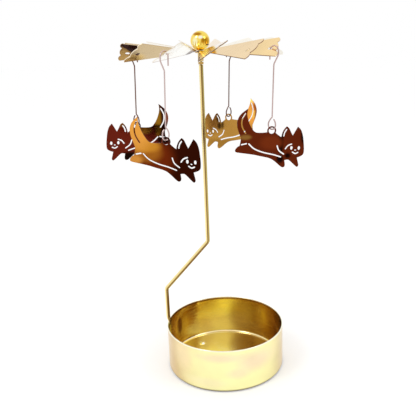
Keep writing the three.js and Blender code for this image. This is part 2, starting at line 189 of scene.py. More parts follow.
# Points are shares of the charm's length forward, and of its depth up, from its ring's centre
OUTLINE_SHARES = [
    [(0.056, -0.032), (0.1, -0.07), (0.141, -0.1)],
    [(0.141, -0.1), (0.156, -0.03), (0.185, 0.026), (0.217, 0.06)],
    [(0.217, 0.06), (0.25, 0.03), (0.277, -0.026), (0.305, -0.08)],
    [(0.305, -0.08), (0.342, -0.012), (0.376, 0.052)],
    [(0.376, 0.052), (0.42, 0.004), (0.449, -0.075), (0.467, -0.19), (0.475, -0.29),
     (0.468, -0.36), (0.43, -0.394), (0.377, -0.414)],
    [(0.377, -0.414), (0.39, -0.47), (0.403, -0.53), (0.382, -0.558), (0.342, -0.527),
     (0.298, -0.483), (0.25, -0.444), (0.195, -0.449)],
    [(0.195, -0.449), (0.205, -0.515), (0.197, -0.548), (0.168, -0.558), (0.126, -0.53),
     (0.07, -0.477), (0.01, -0.43), (-0.056, -0.402)],
    [(-0.056, -0.402), (-0.15, -0.38), (-0.25, -0.355), (-0.36, -0.336), (-0.458, -0.32),
     (-0.508, -0.306), (-0.514, -0.275), (-0.488, -0.238), (-0.452, -0.214)],
    [(-0.452, -0.214), (-0.44, -0.155), (-0.436, -0.094)],
    [(-0.436, -0.094), (-0.468, -0.01), (-0.491, 0.075), (-0.491, 0.163), (-0.448, 0.257),
     (-0.354, 0.341)],
    [(-0.354, 0.341), (-0.36, 0.25), (-0.332, 0.144), (-0.288, 0.05), (-0.232, -0.016),
     (-0.15, -0.028), (-0.065, -0.023)],
]
SLOT_SHARES = [
    [(-0.385, 0.265), (-0.427, 0.17), (-0.42, 0.065), (-0.37, -0.03)],
    [(-0.425, -0.2), (-0.355, -0.185)],
    [(-0.322, -0.19), (-0.24, -0.268), (-0.11, -0.324), (0.03, -0.36), (0.14, -0.398)],
    [(0.084, -0.228), (0.112, -0.3), (0.182, -0.356)],
    [(0.205, -0.277), (0.24, -0.23), (0.292, -0.208)],
    [(0.176, -0.082), (0.188, -0.03), (0.214, 0.012)],
    [(0.31, -0.33), (0.35, -0.352), (0.388, -0.336)],
]
OVAL_SHARES = [((0.292, -0.265), (0.018, 0.028)), ((0.4, -0.27), (0.018, 0.028)),
               ((0.348, -0.3), (0.014, 0.009))]
TAIL_FRONT_SHARE = -0.2
TAIL_ROOT_SHARE = -0.06
TAIL_TIP_SHARE = 0.341

# Heights and places that follow
RISER_X = -(CUP_RADIUS - RISER_INSET)
AXIS_X = RISER_X + SLANT_REACH
FOOT_TOP = CUP_HEIGHT + RIM_PASS
RISER_FOOT = FOOT_TOP + JOGGLE_RISE
LOWER_BEND = RISER_FOOT + RISER_RISE
UPPER_BEND = LOWER_BEND + SLANT_RISE
SHOULDER = UPPER_BEND + UPRIGHT_RISE
COLLAR_BOTTOM = SHOULDER + SLIP_GAP
BUSH_BOTTOM = COLLAR_BOTTOM + COLLAR_HEIGHT + BUSH_GAP
FLANGE_TOP = BUSH_BOTTOM + SLEEVE_LENGTH + BUSH_FLANGE_THICKNESS
ROTOR_PLANE = FLANGE_TOP + SEAT_GAP + SHEET / 2
BALL_BOTTOM = ROTOR_PLANE + SHEET / 2 + SEAT_GAP
BALL_CENTRE = BALL_BOTTOM + math.sqrt(BALL_RADIUS ** 2 - BALL_FLAT ** 2)
BORE_TOP = BALL_CENTRE + BALL_BORE_TOP
NEEDLE_TIP = BORE_TOP - TIP_GAP
NOTCH_OFFSET = (VANE_TIP_LEAD + VANE_TIP_TRAIL) * LOBE_SHARES[1] - VANE_TIP_TRAIL
NOTCH_RADIUS = VANE_RADIUS - VANE_TIP_RAKE * LOBE_SHARES[1] - NOTCH_DEPTH
HOLE_OFFSET = NOTCH_OFFSET + HOOK_SPAN * math.sin(HOOK_TURN) / math.cos(VANE_PITCH)
HOLE_AT = NOTCH_RADIUS - HOLE_INSET

# The soft edge of stamped sheet, how close its inner points stand, and how near they come to its rim
EDGE = 0.06
ROTOR_SPACING = 0.8
CHARM_SPACING = 0.7
RIM_ROOM_SHARE = 0.45
MERGE_DISTANCE = 1e-7
MITRE_LIMIT = 0.35

# How square a rod's section is, where 2 is round, and what still counts as on an axis
ROUND = 2
ON_AXIS = 1e-9

# Creases sharper than these, in degrees, show as edges
CREASE = 30
ROUND_CREASE = 50
WIRE_CREASE = 60

# Most tints paint the reflections, highlights and shade that the polished metal shows, fixed on the pieces.
# Tints are sRGB colours of 0 to 255, and one fades in or out between the two ends of its spread.
# A patch is its centre, its reach and its tint: millimetres in X and Z on the cup, the ball's radii
# on the ball, and the outline's shares on a charm. A lining patch ends with its weight.

# The cup's outside, painted with reflections: brightest in front, with pale patches in front, and dark along
# the base where the floor's contact shadow shows in it. Nearer its axis than CUP_MIDDLE the painted front
# reflection fades out
CUP_REFLECTION_TURN = math.radians(8)
CUP_MIDDLE = 1.0
CUP_SIDE_TINT = (226, 198, 146)
CUP_FRONT_TINT = (255, 249, 186)
CUP_FRONT_SPREAD = (0.3, 0.95)
# Pale painted reflection patches on the front of the cup
CUP_PATCHES = [
    ((14, 15), (8, 4.5), (252, 228, 194)),
    ((-2, 18.5), (10, 2), (248, 228, 190)),
    ((6, 10), (5, 2.5), (248, 232, 190)),
    ((-21, 16), (3.5, 7), (246, 224, 178)),
    ((-10, 4.5), (9, 2.5), (255, 244, 196)),
]
CUP_PATCH_SOFT = 0.7
CUP_PATCH_WEIGHT = 0.8
# A painted reflection of the floor's contact shadow, dark along the base
CUP_BASE_TINT = (104, 78, 48)
CUP_BASE_SPREAD = (0.5, CUP_OUTER_FILLET * 1.15)

# The cup's lining, painted with reflections, highlights and shade. Its back half is painted deeper gold than
# its front half, and deepest on the right, as painted reflections
LINING_TINT = (253, 238, 156)
LINING_SPREAD = (CUP_WALL * 0.7 - CUP_RADIUS, CUP_WALL * 0.95 - CUP_RADIUS)
LINING_FOOT = CUP_FLOOR * 0.75
BACK_TINT = (255, 229, 112)
BACK_SPREAD = (-4, 4)
LOW_TINT = (234, 200, 96)
LOW_SPREAD = (8, 15)
LOW_LEFT_SPREAD = (-19, -11)
RIGHT_TINT = (186, 142, 58)
RIGHT_SPREAD = (0, 10)
RIGHT_WEIGHT = 0.8
# Painted darker reflections on the back of the lining
LINING_PATCHES = [
    ((11, 11), (8, 9), (150, 108, 42), 0.6),
    ((-13, 4), (6, 7), (208, 166, 80), 0.5),
]
LEFT_TINT = (218, 180, 92)
LEFT_SPREAD = (24, 28)
LEFT_WEIGHT = 0.7
# A painted reflection of the post's foot in the lining
FOOT_IMAGE = ((-25, 12.5), (1.1, 5))
FOOT_IMAGE_TINT = (158, 114, 52)
FAR_RIGHT_TINT = (152, 100, 38)
FAR_RIGHT_SPREAD = (20, 28)
FAR_RIGHT_WEIGHT = 0.9
# The floor's tints: a pale painted highlight in its middle, and painted darker reflections to left and right
CUP_FLOOR_TINT = (255, 254, 236)
CUP_FLOOR_LEFT_TINT = (204, 176, 110)
CUP_FLOOR_LEFT_SPREAD = (12, 17)
CUP_FLOOR_RIGHT_TINT = (200, 174, 124)
CUP_FLOOR_RIGHT_SPREAD = (-1, 14)
# Painted highlights on the pips and on the ring round the floor, painted shade below the rim, and a painted
# highlight along the lip
PIP_TINT = (255, 255, 250)
PIP_TINT_REACH = (2.2, 2.2)
FILLET_TINT = (255, 240, 192)
RIM_SHADE_TINT = (160, 112, 48)
RIM_SHADE_SPREAD = (0.3, 0.6)
RIM_SHADE_REACH = CUP_WALL * 2.6
LIP_TINT = (255, 250, 226)
LIP_SPREAD = (CUP_WALL * 0.5, CUP_WALL)

# The post, by how far round to the right. Its bright left, dark line and olive right are painted
# reflections, and its foot's tint is a painted highlight
POST_TINT = (228, 200, 132)
POST_LEFT_TINT = (255, 236, 170)
POST_LEFT_SPREAD = (0.2, 0.6)
POST_RIGHT_TINT = (186, 168, 92)
POST_RIGHT_SPREAD = (0.35, 0.6)
POST_LINE_TINT = (126, 90, 42)
POST_LINE_AT = 0.12
POST_LINE_SPREAD = (0.14, 0.36)
FOOT_TINT = (255, 236, 140)
COLLAR_TINT = (214, 184, 120)

# The rotor's vanes by number, each with a painted reflection tone on the side that faces front. Those in
# FRONT_TOPS show their tops in front, the others their undersides.
# Single ones have a painted dark reflection along the trailing edge, a painted dark reflection wedge at the
# tip, a painted pale reflection corner, or painted shade at the root with a painted reflection along its
# leading side. The cut edges carry painted reflections, and the hub's edge painted shade
VANE_TINTS = {0: (250, 220, 164), 3: (248, 232, 208), 6: (186, 150, 90), 7: (172, 134, 66),
              8: (202, 178, 134), 9: (253, 252, 246), 10: (240, 224, 202), 11: (244, 216, 170)}
PALE_TINT = (255, 250, 238)
VANE_TINT = (238, 208, 146)
FRONT_TOPS = (10, 11, 0, 1, 2, 3)
TRAILING_EDGE_TINT = (122, 90, 72)
LEADING_EDGE_TINT = (214, 196, 168)
PALE_EDGE_TINT = (246, 238, 226)
TIP_EDGE_TINTS = {0: (186, 156, 126), 6: (150, 110, 60), 7: (150, 110, 60), 8: (252, 238, 214),
                  10: (132, 104, 76), 11: (150, 116, 96)}
HUB_EDGE_TINT = (84, 30, 14)
TRAILING_REFLECTION_VANE = 9
TRAILING_REFLECTION_TINT = (150, 112, 84)
TRAILING_REFLECTION_SPREAD = (0.86, 0.95)
WEDGE_VANE = 7
WEDGE_TINT = (56, 18, 4)
WEDGE_SLOPE = 1.27
WEDGE_SPREAD = (-0.3, 0.5)
WEDGE_ALONG_SPREAD = (VANE_RADIUS * 0.5, VANE_RADIUS * 0.7)
CORNER_VANE = 8
CORNER_TINT = (236, 196, 108)
CORNER_PATCH = ((VANE_RADIUS * 0.92, -VANE_TIP_TRAIL * 0.6), (5, 4))
ROOT_VANE = 9
ROOT_TINT = (74, 34, 20)
ROOT_SPREAD = (HUB_RADIUS * 2, HUB_RADIUS * 2.3)
ROOT_LEAD_TINT = (170, 128, 66)
ROOT_LEAD_SPREAD = (0.6, 1.4)

# The ball, the hanger wires and the charms, their tints mostly painted reflections and highlights
BALL_TINT = (255, 224, 104)
BALL_FRONT_SPREAD = (-0.2, 0.2)
# The ball's patches are painted highlights, pale, and painted reflections, brown and dark
BALL_PATCHES = [
    ((-0.25, 0.68), (0.42, 0.16), (190, 128, 26)),
    ((0.68, 0.0), (0.26, 0.34), (206, 150, 30)),
    ((0.28, 0.02), (0.16, 0.26), (196, 136, 22)),
    ((-0.5, -0.2), (0.26, 0.56), (255, 248, 196)),
    ((0.08, 0.36), (0.24, 0.14), (255, 252, 236)),
    ((0.8, -0.42), (0.26, 0.07), (84, 20, 6)),
]
# Each wire's tone is a painted reflection; the four wires are one metal
WIRE_TINTS = [(112, 72, 56), (206, 184, 180), (106, 76, 66), (196, 170, 166)]
CHARM_EDGE_TINT = (52, 24, 10)
CHARM_EDGE_WEIGHT = 0.6
# Each charm's tone and patches are painted reflections; the charms are one metal
CHARM_TINTS = [
    ((104, 34, 20), [
        ((-0.13, -0.07), (0.1, 0.06), (146, 100, 30)),
        ((-0.4, 0.1), (0.1, 0.3), (62, 18, 8)),
        ((-0.33, 0.08), (0.05, 0.25), (150, 104, 24)),
        ((-0.445, 0.14), (0.03, 0.16), (20, 8, 6)),
        ((-0.48, 0.15), (0.03, 0.12), (132, 64, 36)),
        ((-0.42, -0.24), (0.12, 0.07), (30, 10, 6)),
        ((0.12, -0.5), (0.14, 0.08), (24, 10, 6)),
        ((0.22, 0.04), (0.05, 0.05), (128, 84, 28)),
    ]),
    ((50, 14, 4), [
        ((-0.14, -0.24), (0.24, 0.28), (108, 38, 10)),
        ((-0.27, -0.16), (0.2, 0.14), (162, 96, 28)),
        ((-0.27, -0.07), (0.18, 0.09), (204, 136, 42)),
        ((-0.47, -0.28), (0.13, 0.07), (214, 144, 62)),
        ((-0.4, 0.14), (0.2, 0.28), (230, 158, 66)),
    ]),
    ((190, 140, 64), [
        ((0.11, -0.13), (0.022, 0.07), (112, 78, 32)),
        ((0.17, -0.16), (0.032, 0.055), (84, 56, 22)),
        ((0.2, -0.02), (0.03, 0.08), (120, 84, 36)),
        ((-0.42, 0.16), (0.12, 0.26), (244, 166, 72)),
        ((-0.46, 0.22), (0.03, 0.08), (186, 98, 34)),
        ((-0.45, 0.09), (0.05, 0.06), (255, 198, 88)),
        ((-0.37, 0.32), (0.05, 0.06), (250, 206, 110)),
        ((-0.5, 0.1), (0.03, 0.16), (156, 78, 26)),
        ((0.0, -0.46), (0.4, 0.08), (166, 120, 50)),
    ]),
    ((98, 36, 14), [
        ((0.138, -0.17), (0.036, 0.17), (8, 4, 4)),
        ((0.13, -0.43), (0.05, 0.06), (24, 8, 6)),
        ((0.455, -0.08), (0.03, 0.12), (16, 6, 6)),
        ((0.24, -0.38), (0.04, 0.04), (26, 8, 6)),
        ((0.0, -0.18), (0.16, 0.1), (116, 46, 18)),
        ((-0.37, -0.09), (0.08, 0.035), (140, 98, 44)),
    ]),
]

# The metal's drift of tint and gloss, and its relief in metres
NOISE_DETAIL = 3.0
NOISE_ROUGHNESS = 0.5
NOISE_SPREAD = (0.3, 0.7)
RELIEF_STRENGTH = 0.01
RELIEF_DISTANCE = 0.0002

# Floor and light
FLOOR_REACH = 3000.0
LAMPS = {
    "key": {"place": (-230, -160, 420), "power": 0.3},
    "fill": {"place": (260, -120, 330), "power": 0.12},
}
LAMP_TARGET = (0, 0, 100)
LAMP_SIZE = 150
FLOOR_COLOUR = 0.9
FLOOR_LIFT = 0.19
WORLD_LIGHT = 0.9
DIM_SIDE = (1.0, -0.6, 0.1)
DIM_SPREAD = (0.82, 0.98)
DIM_LIGHT = 0.65

# Camera
CAMERA_PLACE = (0.0, -273.55, 167.91)
CAMERA_YAW = math.radians(-1.362)
CAMERA_PITCH = math.radians(16.896)
CAMERA_ROLL = math.radians(-2.195)
CAMERA_LENS = 50.19
CAMERA_SENSOR = 36.0
CAMERA_CLIP = (0.01, 20.0)


# Shapes as (points, faces), in millimetres

def smoothstep(value, low, high):
    share = np.clip((value - low) / (high - low), 0, 1)
    return share * share * (3 - 2 * share)


def lerp(a, b, share):
    return a + (b - a) * share


def arc(centre, radius, start, end, steps):
    angles = np.linspace(start, end, steps + 1)
    return [(centre[0] + radius * math.cos(a), centre[1] + radius * math.sin(a)) for a in angles]


def revolve(profile, segments, centre_x=0.0):
    """A closed (radius, height) profile turned about an upright axis."""
    points, rows, faces = [], [], []
    for radius, height in profile:
        if radius < ON_AXIS:
            rows.append([len(points)] * segments)
            points.append((centre_x, 0.0, height))
            continue
        rows.append(list(range(len(points), len(points) + segments)))
        for i in range(segments):
            angle = 2 * math.pi * i / segments
            points.append((centre_x + radius * math.cos(angle), radius * math.sin(angle), height))
    closed = profile[0][0] > ON_AXIS
    for k in range(len(rows) if closed else len(rows) - 1):
        low, high = rows[k], rows[(k + 1) % len(rows)]
        for i in range(segments):
            j = (i + 1) % segments
            face = [low[i], low[j], high[j], high[i]]
            faces.append([p for n, p in enumerate(face) if p != face[n - 1]])
    return points, faces


def loft(rings):
    """A closed skin over rings of equal size, with flat ends."""
    count = len(rings[0])
    points = [tuple(p) for ring in rings for p in ring]
    faces = [list(range(count))[::-1], [len(points) - count + j for j in range(count)]]
    for i in range(len(rings) - 1):
        for j in range(count):
            a, b = i * count + j, i * count + (j + 1) % count
            faces.append([a, b, b + count, a + count])
    return points, faces


def round_section(radius):
    return radius, radius, ROUND


def rod(stations, facets):
    """A rod along a line in the XZ plane; a station is (x, z, half thickness, half width, squareness)."""
    places = np.array([s[:2] for s in stations], float)
    rings = []
    for i, (x, z, thick, wide, square) in enumerate(stations):
        into = places[i] - places[max(i - 1, 0)]
        out = places[min(i + 1, len(stations) - 1)] - places[i]
        along = sum(v / np.linalg.norm(v) for v in (into, out) if np.linalg.norm(v) > 0)
        along = along / np.linalg.norm(along)
        ring = []
        for j in range(facets):
            angle = 2 * math.pi * (j + 0.5) / facets
            c, s = (math.copysign(abs(v) ** (2 / square), v) for v in (math.cos(angle), math.sin(angle)))
            ring.append((x + along[1] * c * thick, s * wide, z - along[0] * c * thick))
        rings.append(ring)
    return loft(rings)


def round_corner(before, corner, after, radius, steps):
    before, corner, after = (np.array(p, float) for p in (before, corner, after))
    back = (before - corner) / np.linalg.norm(before - corner)
    on = (after - corner) / np.linalg.norm(after - corner)
    half = math.acos(float(np.clip(back @ on, -1, 1))) / 2
    start, end = corner + back * radius / math.tan(half), corner + on * radius / math.tan(half)
    middle = corner + (back + on) / np.linalg.norm(back + on) * radius / math.sin(half)
    first = math.atan2(*(start - middle)[::-1])
    sweep = math.atan2(*(end - middle)[::-1]) - first
    sweep -= 2 * math.pi * round(sweep / (2 * math.pi))
    return arc(middle, radius, first, first + sweep, steps)


def inside(points, loop):
    """Which points lie inside a loop, by even and odd crossings."""
    loop = np.asarray(loop)
    after = np.roll(loop, -1, axis=0)
    result = np.zeros(len(points), bool)
    for (x1, y1), (x2, y2) in zip(loop, after):
        if y1 != y2:
            crosses = (points[:, 1] < y1) != (points[:, 1] < y2)
            at = x1 + (points[:, 1] - y1) * (x2 - x1) / (y2 - y1)
            result ^= crosses & (points[:, 0] < at)
    return result


def clearance(points, loop):
    """How far points are from the nearest stretch of a loop."""
    loop = np.asarray(loop)
    nearest = np.full(len(points), np.inf)
    for a, b in zip(loop, np.roll(loop, -1, axis=0)):
        along = b - a
        share = np.clip((points - a) @ along / (along @ along), 0, 1)
        nearest = np.minimum(nearest, np.linalg.norm(points - a - share[:, None] * along, axis=1))
    return nearest


def turned(loop, anticlockwise):
    """A loop, run the way asked for."""
    loop = np.asarray(loop, float)
    x, y = loop.T
    area = float(np.sum(x * np.roll(y, -1) - np.roll(x, -1) * y))
    return loop if (area > 0) == anticlockwise else loop[::-1]


def pull_in(loop, distance):
    """Moves a loop's points into the material, which lies on its left."""
    on = np.roll(loop, -1, axis=0) - loop
    on = on / np.linalg.norm(on, axis=1)[:, None]
    after = np.stack([-on[:, 1], on[:, 0]], axis=1)
    before = np.roll(after, 1, axis=0)
    share = np.maximum(1 + np.sum(before * after, axis=1), MITRE_LIMIT)
    return loop + distance * (before + after) / share[:, None]


def at_height(places, height):
    return np.column_stack([places, np.full(len(places), height)])


def sheet_plate(outline, holes, thickness, spacing):
    """A flat plate with softened edges, evenly triangulated so that it bends well."""
    loops = [turned(outline, True)] + [turned(h, False) for h in holes]
    low, high = loops[0].min(0), loops[0].max(0)
    rows = np.arange(low[1], high[1], spacing * math.sqrt(3) / 2)
    grid = np.array([(x + (k % 2) * spacing / 2, y) for k, y in enumerate(rows)
                     for x in np.arange(low[0], high[0], spacing)])
    for n, loop in enumerate(loops):
        grid = grid[inside(grid, loop) == (n == 0)]
    for loop in loops:
        grid = grid[clearance(grid, loop) > spacing * RIM_ROOM_SHARE]
    rim = np.concatenate(loops)
    flat = np.concatenate([rim, grid])
    edges, first = [], 0
    for loop in loops:
        edges += [(first + i, first + (i + 1) % len(loop)) for i in range(len(loop))]
        first += len(loop)
    made = delaunay_2d_cdt([Vector(p) for p in flat], edges, [], 0, MERGE_DISTANCE, True)
    source = [ids[0] for ids in made[3]]
    triangles = np.array([[source[i] for i in face] for face in made[2]])
    centres = flat[triangles].mean(axis=1)
    keep = inside(centres, loops[0])
    for loop in loops[1:]:
        keep &= ~inside(centres, loop)
    triangles = triangles[keep]
    face_points = np.concatenate([pull_in(loop, EDGE) for loop in loops] + [grid])
    half, count, rims = thickness / 2, len(flat), len(rim)
    points = np.concatenate([at_height(face_points, half), at_height(face_points, -half),
                             at_height(rim, half - EDGE), at_height(rim, EDGE - half)])
    faces = [list(t) for t in triangles] + [[count + i for i in t[::-1]] for t in triangles]
    for a, b in edges:
        layers = (0, 2 * count, 2 * count + rims, count)
        for upper, lower in zip(layers, layers[1:]):
            faces.append([upper + b, upper + a, lower + a, lower + b])
    return points, faces


# Pieces in mesh

def add_piece(name, shape, tints, material, body, node, matrix=None, crease=CREASE):
    points, faces = shape
    points = np.asarray(points, float)
    if matrix is not None:
        rows = np.array(matrix)
        points = points @ rows[:3, :3].T + rows[:3, 3]
    mesh = bpy.data.meshes.new(name)
    mesh.from_pydata((points * MM).tolist(), [], [list(map(int, f)) for f in faces])
    # The tint attribute holds each point's colour with its painted reflections, highlights and shade
    layer = mesh.color_attributes.new("tint", "FLOAT_COLOR", "POINT")
    layer.data.foreach_set("color", np.column_stack([tints, np.ones(len(tints))]).ravel())
    mesh.validate()
    mesh.shade_smooth()
    mesh.set_sharp_from_angle(angle=math.radians(crease))
    mesh.materials.append(material)
    piece = bpy.data.objects.new(name, mesh)
    bpy.context.scene.collection.objects.link(piece)
    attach(piece, body)
    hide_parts(node)
    return piece


def pip_centres():
    turns = [PIP_TURN + 2 * math.pi * i / PIP_COUNT for i in range(PIP_COUNT)]
    return [PIP_CIRCLE * np.array([math.cos(turn), math.sin(turn)]) for turn in turns]


def cup_shape():
    """The drawn cup, its floor pressed up into pips from below."""
    inner, lip = CUP_RADIUS - CUP_WALL, CUP_WALL / 2
    flat = CUP_RADIUS - CUP_OUTER_FILLET
    corner = inner - CUP_INNER_FILLET
    outwards = [(r, 0.0) for r in np.arange(0, flat, CUP_FLOOR_STEP)]
    inwards = [(r, CUP_FLOOR) for r in np.arange(0, corner, CUP_FLOOR_STEP)][::-1]
    fillet_top = CUP_FLOOR + CUP_INNER_FILLET
    walls = [(CUP_RADIUS, z) for z in np.linspace(CUP_OUTER_FILLET, CUP_HEIGHT - lip, WALL_RINGS)[1:-1]]
    lining = [(inner, z) for z in np.linspace(CUP_HEIGHT - lip, fillet_top, WALL_RINGS)[1:-1]]
    profile = (
        outwards
        + arc((flat, CUP_OUTER_FILLET), CUP_OUTER_FILLET, -math.pi / 2, 0, FILLET_STEPS)
        + walls
        + arc((CUP_RADIUS - lip, CUP_HEIGHT - lip), lip, 0, math.pi, LIP_STEPS)
        + lining
        + arc((corner, fillet_top), CUP_INNER_FILLET, 0, -math.pi / 2, FILLET_STEPS)
        + inwards
    )
    points, faces = revolve(profile, CUP_SEGMENTS)
    points = np.array(points)
    on_floor = (points[:, 2] <= CUP_FLOOR) & (np.hypot(points[:, 0], points[:, 1]) < flat)
    for centre in pip_centres():
        away = np.linalg.norm(points[:, :2] - centre, axis=1)
        rise = PIP_HEIGHT * (1 - smoothstep(away, *(PIP_RADIUS * share for share in PIP_SHARES)))
        points[:, 2] += np.where(on_floor, rise, 0)
    return points, faces


def post_shape():
    """Flat foot, joggle over the rim, riser, slant, upright and needle, as one bent rod."""
    foot_x = -(CUP_RADIUS - CUP_WALL - FOOT_GAP - FOOT_THICKNESS / 2)
    flat = (FOOT_THICKNESS / 2, FOOT_WIDTH / 2, FOOT_SQUARENESS)
    body = round_section(POST_RADIUS)
    neck = (POST_RADIUS + NEEDLE_RADIUS) / 2
    foot_end = CUP_HEIGHT - FOOT_REACH
    low, high, top = (RISER_X, LOWER_BEND), (AXIS_X, UPPER_BEND), (AXIS_X, SHOULDER)
    thin, narrow = FOOT_END_SHARES
    stations = [(foot_x, foot_end, flat[0] * thin, flat[1] * narrow, FOOT_END_SQUARENESS),
                (foot_x, foot_end + FOOT_END_ROUND, *flat)]
    stations += [(foot_x, z, *flat) for z in np.linspace(foot_end + FOOT_THICKNESS, FOOT_TOP, FOOT_STATIONS)]
    for share in np.linspace(0, 1, JOGGLE_STEPS)[1:-1]:
        ease = float(smoothstep(share, 0, 1))
        section = [lerp(a, b, ease) for a, b in zip(flat, body)]
        stations.append((lerp(foot_x, RISER_X, ease), lerp(FOOT_TOP, RISER_FOOT, share), *section))
    stations.append((RISER_X, RISER_FOOT, *body))
    line = round_corner((RISER_X, RISER_FOOT), low, high, BEND_RADIUS, BEND_STEPS)
    line += round_corner(low, high, top, BEND_RADIUS, BEND_STEPS)
    stations += [(x, z, *body) for x, z in line]
    for share in np.linspace(0, 1, SHOULDER_STEPS):
        drop = (POST_RADIUS - neck) * (1 - math.sin(share * math.pi / 2))
        radius = neck + (POST_RADIUS - neck) * math.cos(share * math.pi / 2)
        stations.append((AXIS_X, SHOULDER - drop, *round_section(radius)))
    stations += [
        (AXIS_X, SHOULDER + SLIP_GAP / 2, *round_section(NEEDLE_RADIUS)),
        (AXIS_X, NEEDLE_TIP - NEEDLE_TAPER, *round_section(NEEDLE_RADIUS)),
        (AXIS_X, NEEDLE_TIP, *round_section(NEEDLE_TIP_RADIUS)),
    ]
    return rod(stations, POST_FACETS)


def collar_shape():
    bore, bulge = NEEDLE_RADIUS + SLIP_GAP, COLLAR_HEIGHT / 4
    middle = COLLAR_BOTTOM + COLLAR_HEIGHT / 2
    top, bottom = COLLAR_BOTTOM + COLLAR_HEIGHT, COLLAR_BOTTOM
    groove = [(COLLAR_RADIUS, middle - GROOVE_HALF), (COLLAR_RADIUS - GROOVE_DEPTH, middle),
              (COLLAR_RADIUS, middle + GROOVE_HALF)]
    profile = (
        [(bore, bottom)]
        + arc((COLLAR_RADIUS - bulge, bottom + bulge), bulge, -math.pi / 2, 0, COLLAR_STEPS)
        + groove
        + arc((COLLAR_RADIUS - bulge, top - bulge), bulge, 0, math.pi / 2, COLLAR_STEPS)
        + [(bore, top)]
    )
    return revolve(profile, COLLAR_SEGMENTS, AXIS_X)


def bush_shape():
    flange_bottom = FLANGE_TOP - BUSH_FLANGE_THICKNESS
    spigot_top = BALL_BOTTOM + SPIGOT_REACH
    soft = BUSH_FLANGE_THICKNESS / 4
    profile = (
        [(BUSH_BORE, BUSH_BOTTOM)]
        + arc((BUSH_RADIUS - soft, BUSH_BOTTOM + soft), soft, -math.pi / 2, 0, BUSH_STEPS)
        + [(BUSH_RADIUS, flange_bottom)]
        + arc((BUSH_FLANGE - soft, flange_bottom + soft), soft, -math.pi / 2, 0, BUSH_STEPS)
        + arc((BUSH_FLANGE - soft, FLANGE_TOP - soft), soft, 0, math.pi / 2, BUSH_STEPS)
        + [(SPIGOT_RADIUS, FLANGE_TOP), (SPIGOT_RADIUS, spigot_top), (BUSH_BORE, spigot_top)]
    )
    return revolve(profile, BUSH_SEGMENTS, AXIS_X)


def ball_shape():
    counterbore = SPIGOT_RADIUS + SEAT_GAP
    counterbore_top = BALL_BOTTOM + SPIGOT_REACH + SEAT_GAP
    profile = [
        (0.0, BORE_TOP),
        (BUSH_BORE, BORE_TOP - BUSH_BORE / 2),
        (BUSH_BORE, counterbore_top),
        (counterbore, counterbore_top),
        (counterbore, BALL_BOTTOM),
    ] + arc((0, BALL_CENTRE), BALL_RADIUS, -math.acos(BALL_FLAT / BALL_RADIUS), math.pi / 2, BALL_STEPS)
    profile[-1] = (0.0, profile[-1][1])
    return revolve(profile, BALL_SEGMENTS, AXIS_X)


# Rotor

def vane_half(radius, tip, tip_radius):
    """How far a vane's edge stands from its middle line, at a radius from the hub's centre."""
    share = np.maximum((radius - HUB_RADIUS) / (tip_radius - HUB_RADIUS), 0)
    return lerp(VANE_ROOT_HALF, tip, share)


def quadratic(start, control, end, steps):
    shares = np.linspace(0, 1, steps + 1)[:, None]
    start, control, end = (np.array(p, float) for p in (start, control, end))
    return start * (1 - shares) ** 2 + 2 * control * shares * (1 - shares) + end * shares ** 2


def vane_edge():
    """One vane's edge in its own flat frame, from its root round its tip and back."""
    root = math.sqrt(HUB_RADIUS ** 2 - VANE_ROOT_HALF ** 2)
    lead_tip = VANE_RADIUS - VANE_TIP_RAKE
    tip = []
    for i, share in enumerate(LOBE_SHARES):
        cut = 0 if i in (0, len(LOBE_SHARES) - 1) else NOTCH_DEPTH
        tip.append((VANE_RADIUS - VANE_TIP_RAKE * share - cut, lerp(-VANE_TIP_TRAIL, VANE_TIP_LEAD, share)))
    edge = [(x, -vane_half(x, VANE_TIP_TRAIL, VANE_RADIUS))
            for x in np.linspace(root, VANE_RADIUS, VANE_STEPS)[:-1]]
    for a, b in zip(tip, tip[1:]):
        control = ((a[0] + b[0]) / 2 + LOBE_BULGE, (a[1] + b[1]) / 2)
        edge += [tuple(p) for p in quadratic(a, control, b, LOBE_STEPS)[:-1]]
    return edge + [(x, vane_half(x, VANE_TIP_LEAD, lead_tip))
                   for x in np.linspace(lead_tip, root, VANE_STEPS)]


def spun(points, angle):
    points = np.asarray(points, float)
    c, s = math.cos(angle), math.sin(angle)
    return np.column_stack([points[:, 0] * c - points[:, 1] * s, points[:, 0] * s + points[:, 1] * c])


def rotor_shape():
    """The whole rotor as one stamped sheet, then its vanes twisted out of the hub's plane, and its tints."""
    step = 2 * math.pi / VANE_COUNT
    gap = math.asin(VANE_ROOT_HALF / HUB_RADIUS)
    outline, holes = [], [arc((0, 0), SPIGOT_RADIUS + SEAT_GAP, 0, 2 * math.pi, BORE_STEPS)[:-1]]
    for i in range(VANE_COUNT):
        angle = VANE_TURN + i * step
        outline += [tuple(p) for p in spun(vane_edge(), angle)]
        outline += arc((0, 0), HUB_RADIUS, angle + gap, angle + step - gap, HUB_STEPS)[1:-1]
        hole = arc((HOLE_AT, HOLE_OFFSET), HOLE_RADIUS, 0, 2 * math.pi, HOLE_STEPS)[:-1]
        holes.append(spun(hole, angle))
    points, faces = sheet_plate(outline, holes, SHEET, ROTOR_SPACING)
    nearest = np.round((np.arctan2(points[:, 1], points[:, 0]) - VANE_TURN) / step)
    angles = VANE_TURN + nearest * step
    c, s = np.cos(angles), np.sin(angles)
    along, across = points[:, 0] * c + points[:, 1] * s, points[:, 1] * c - points[:, 0] * s
    pitch = VANE_PITCH * smoothstep(along, HUB_RADIUS, HUB_RADIUS + VANE_TWIST_REACH - SHEET)
    lift = points[:, 2]
    tints = vane_tint(along, across, lift, nearest.astype(int) % VANE_COUNT)
    across, lift = (across * np.cos(pitch) - lift * np.sin(pitch),
                    across * np.sin(pitch) + lift * np.cos(pitch))
    points = np.column_stack([along * c - across * s + AXIS_X, along * s + across * c, lift + ROTOR_PLANE])
    return (points, faces), tints


